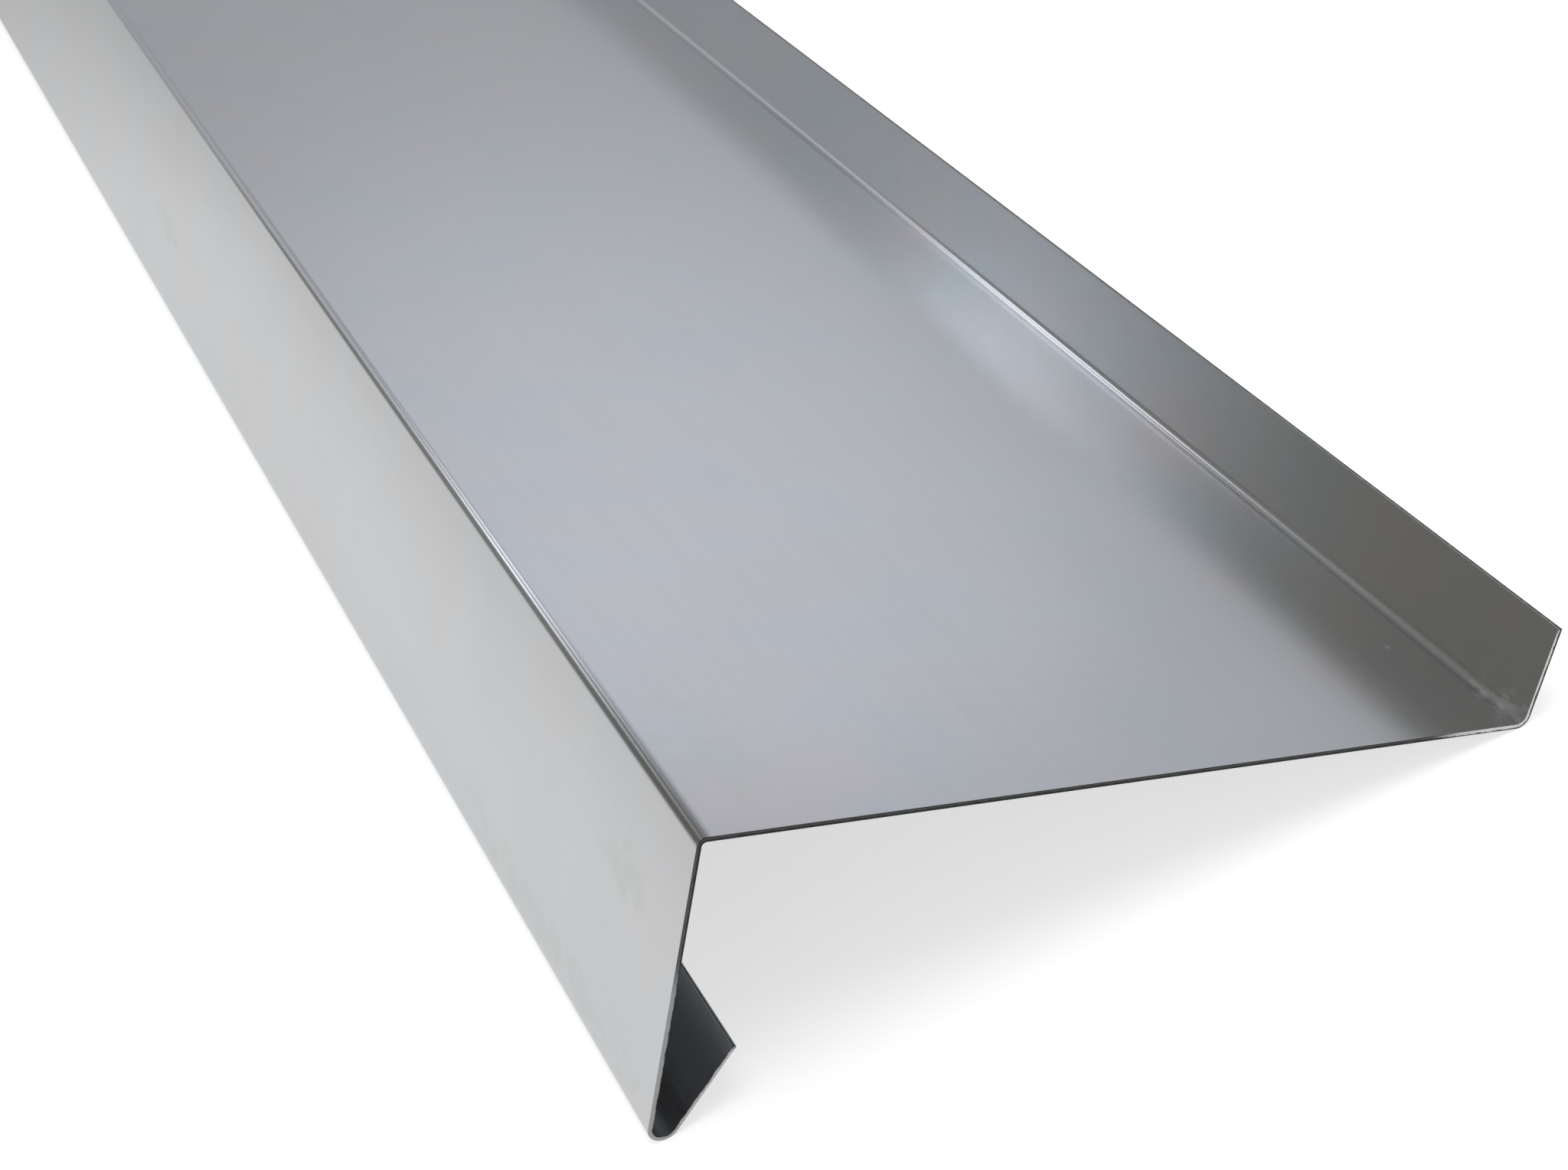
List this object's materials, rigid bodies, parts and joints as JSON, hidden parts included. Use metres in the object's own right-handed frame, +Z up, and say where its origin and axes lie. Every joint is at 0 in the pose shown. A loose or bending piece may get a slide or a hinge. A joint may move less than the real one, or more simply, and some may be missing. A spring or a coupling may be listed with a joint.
{
  "type": "parapet coping",
  "caption": "Folded bare aluminium coping that covers the head of a parapet wall, with a flat web, a short back upstand, a front drop and a returned drip lip.",
  "frame": {"origin": "middle of the bounding box's base: the floor that the coping lies on, at half its length and halfway between the foot of the drop and the edge of the upstand", "axes": "+X from the drop to the upstand, +Y along the length away from the pictured end, +Z up; the web slopes 20.42 degrees down towards +X"},
  "size_m": [0.2202, 1, 0.0693],
  "materials": {
    "sheet": "bare mill finish, satin"
  },
  "bodies": {
    "root": {"coping": "sheet"}
  },
  "joints": []
}
